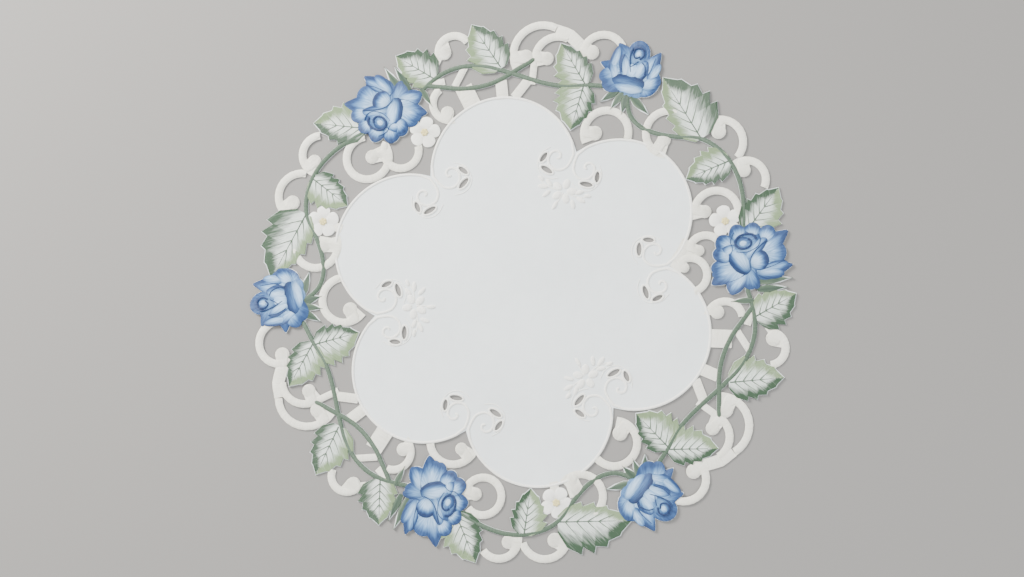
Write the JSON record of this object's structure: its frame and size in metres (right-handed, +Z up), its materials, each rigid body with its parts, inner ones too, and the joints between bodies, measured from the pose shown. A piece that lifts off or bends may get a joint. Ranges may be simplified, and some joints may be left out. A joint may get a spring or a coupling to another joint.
{
  "type": "doily",
  "caption": "Round cutwork doily with a plain lobed centre and an open border of roses, leaves and satin scrolls, lying flat.",
  "frame": {"origin": "middle of the doily, on the surface that it lies on", "axes": "+Z up from the table through the cloth; +X to the right and +Y to the top of the picture"},
  "size_m": [0.4024, 0.399, 0.0012],
  "materials": {
    "cloth": "matt, close-woven, with satin-stitched edges"
  },
  "bodies": {
    "root": {"doily_cloth": "cloth"}
  },
  "joints": []
}
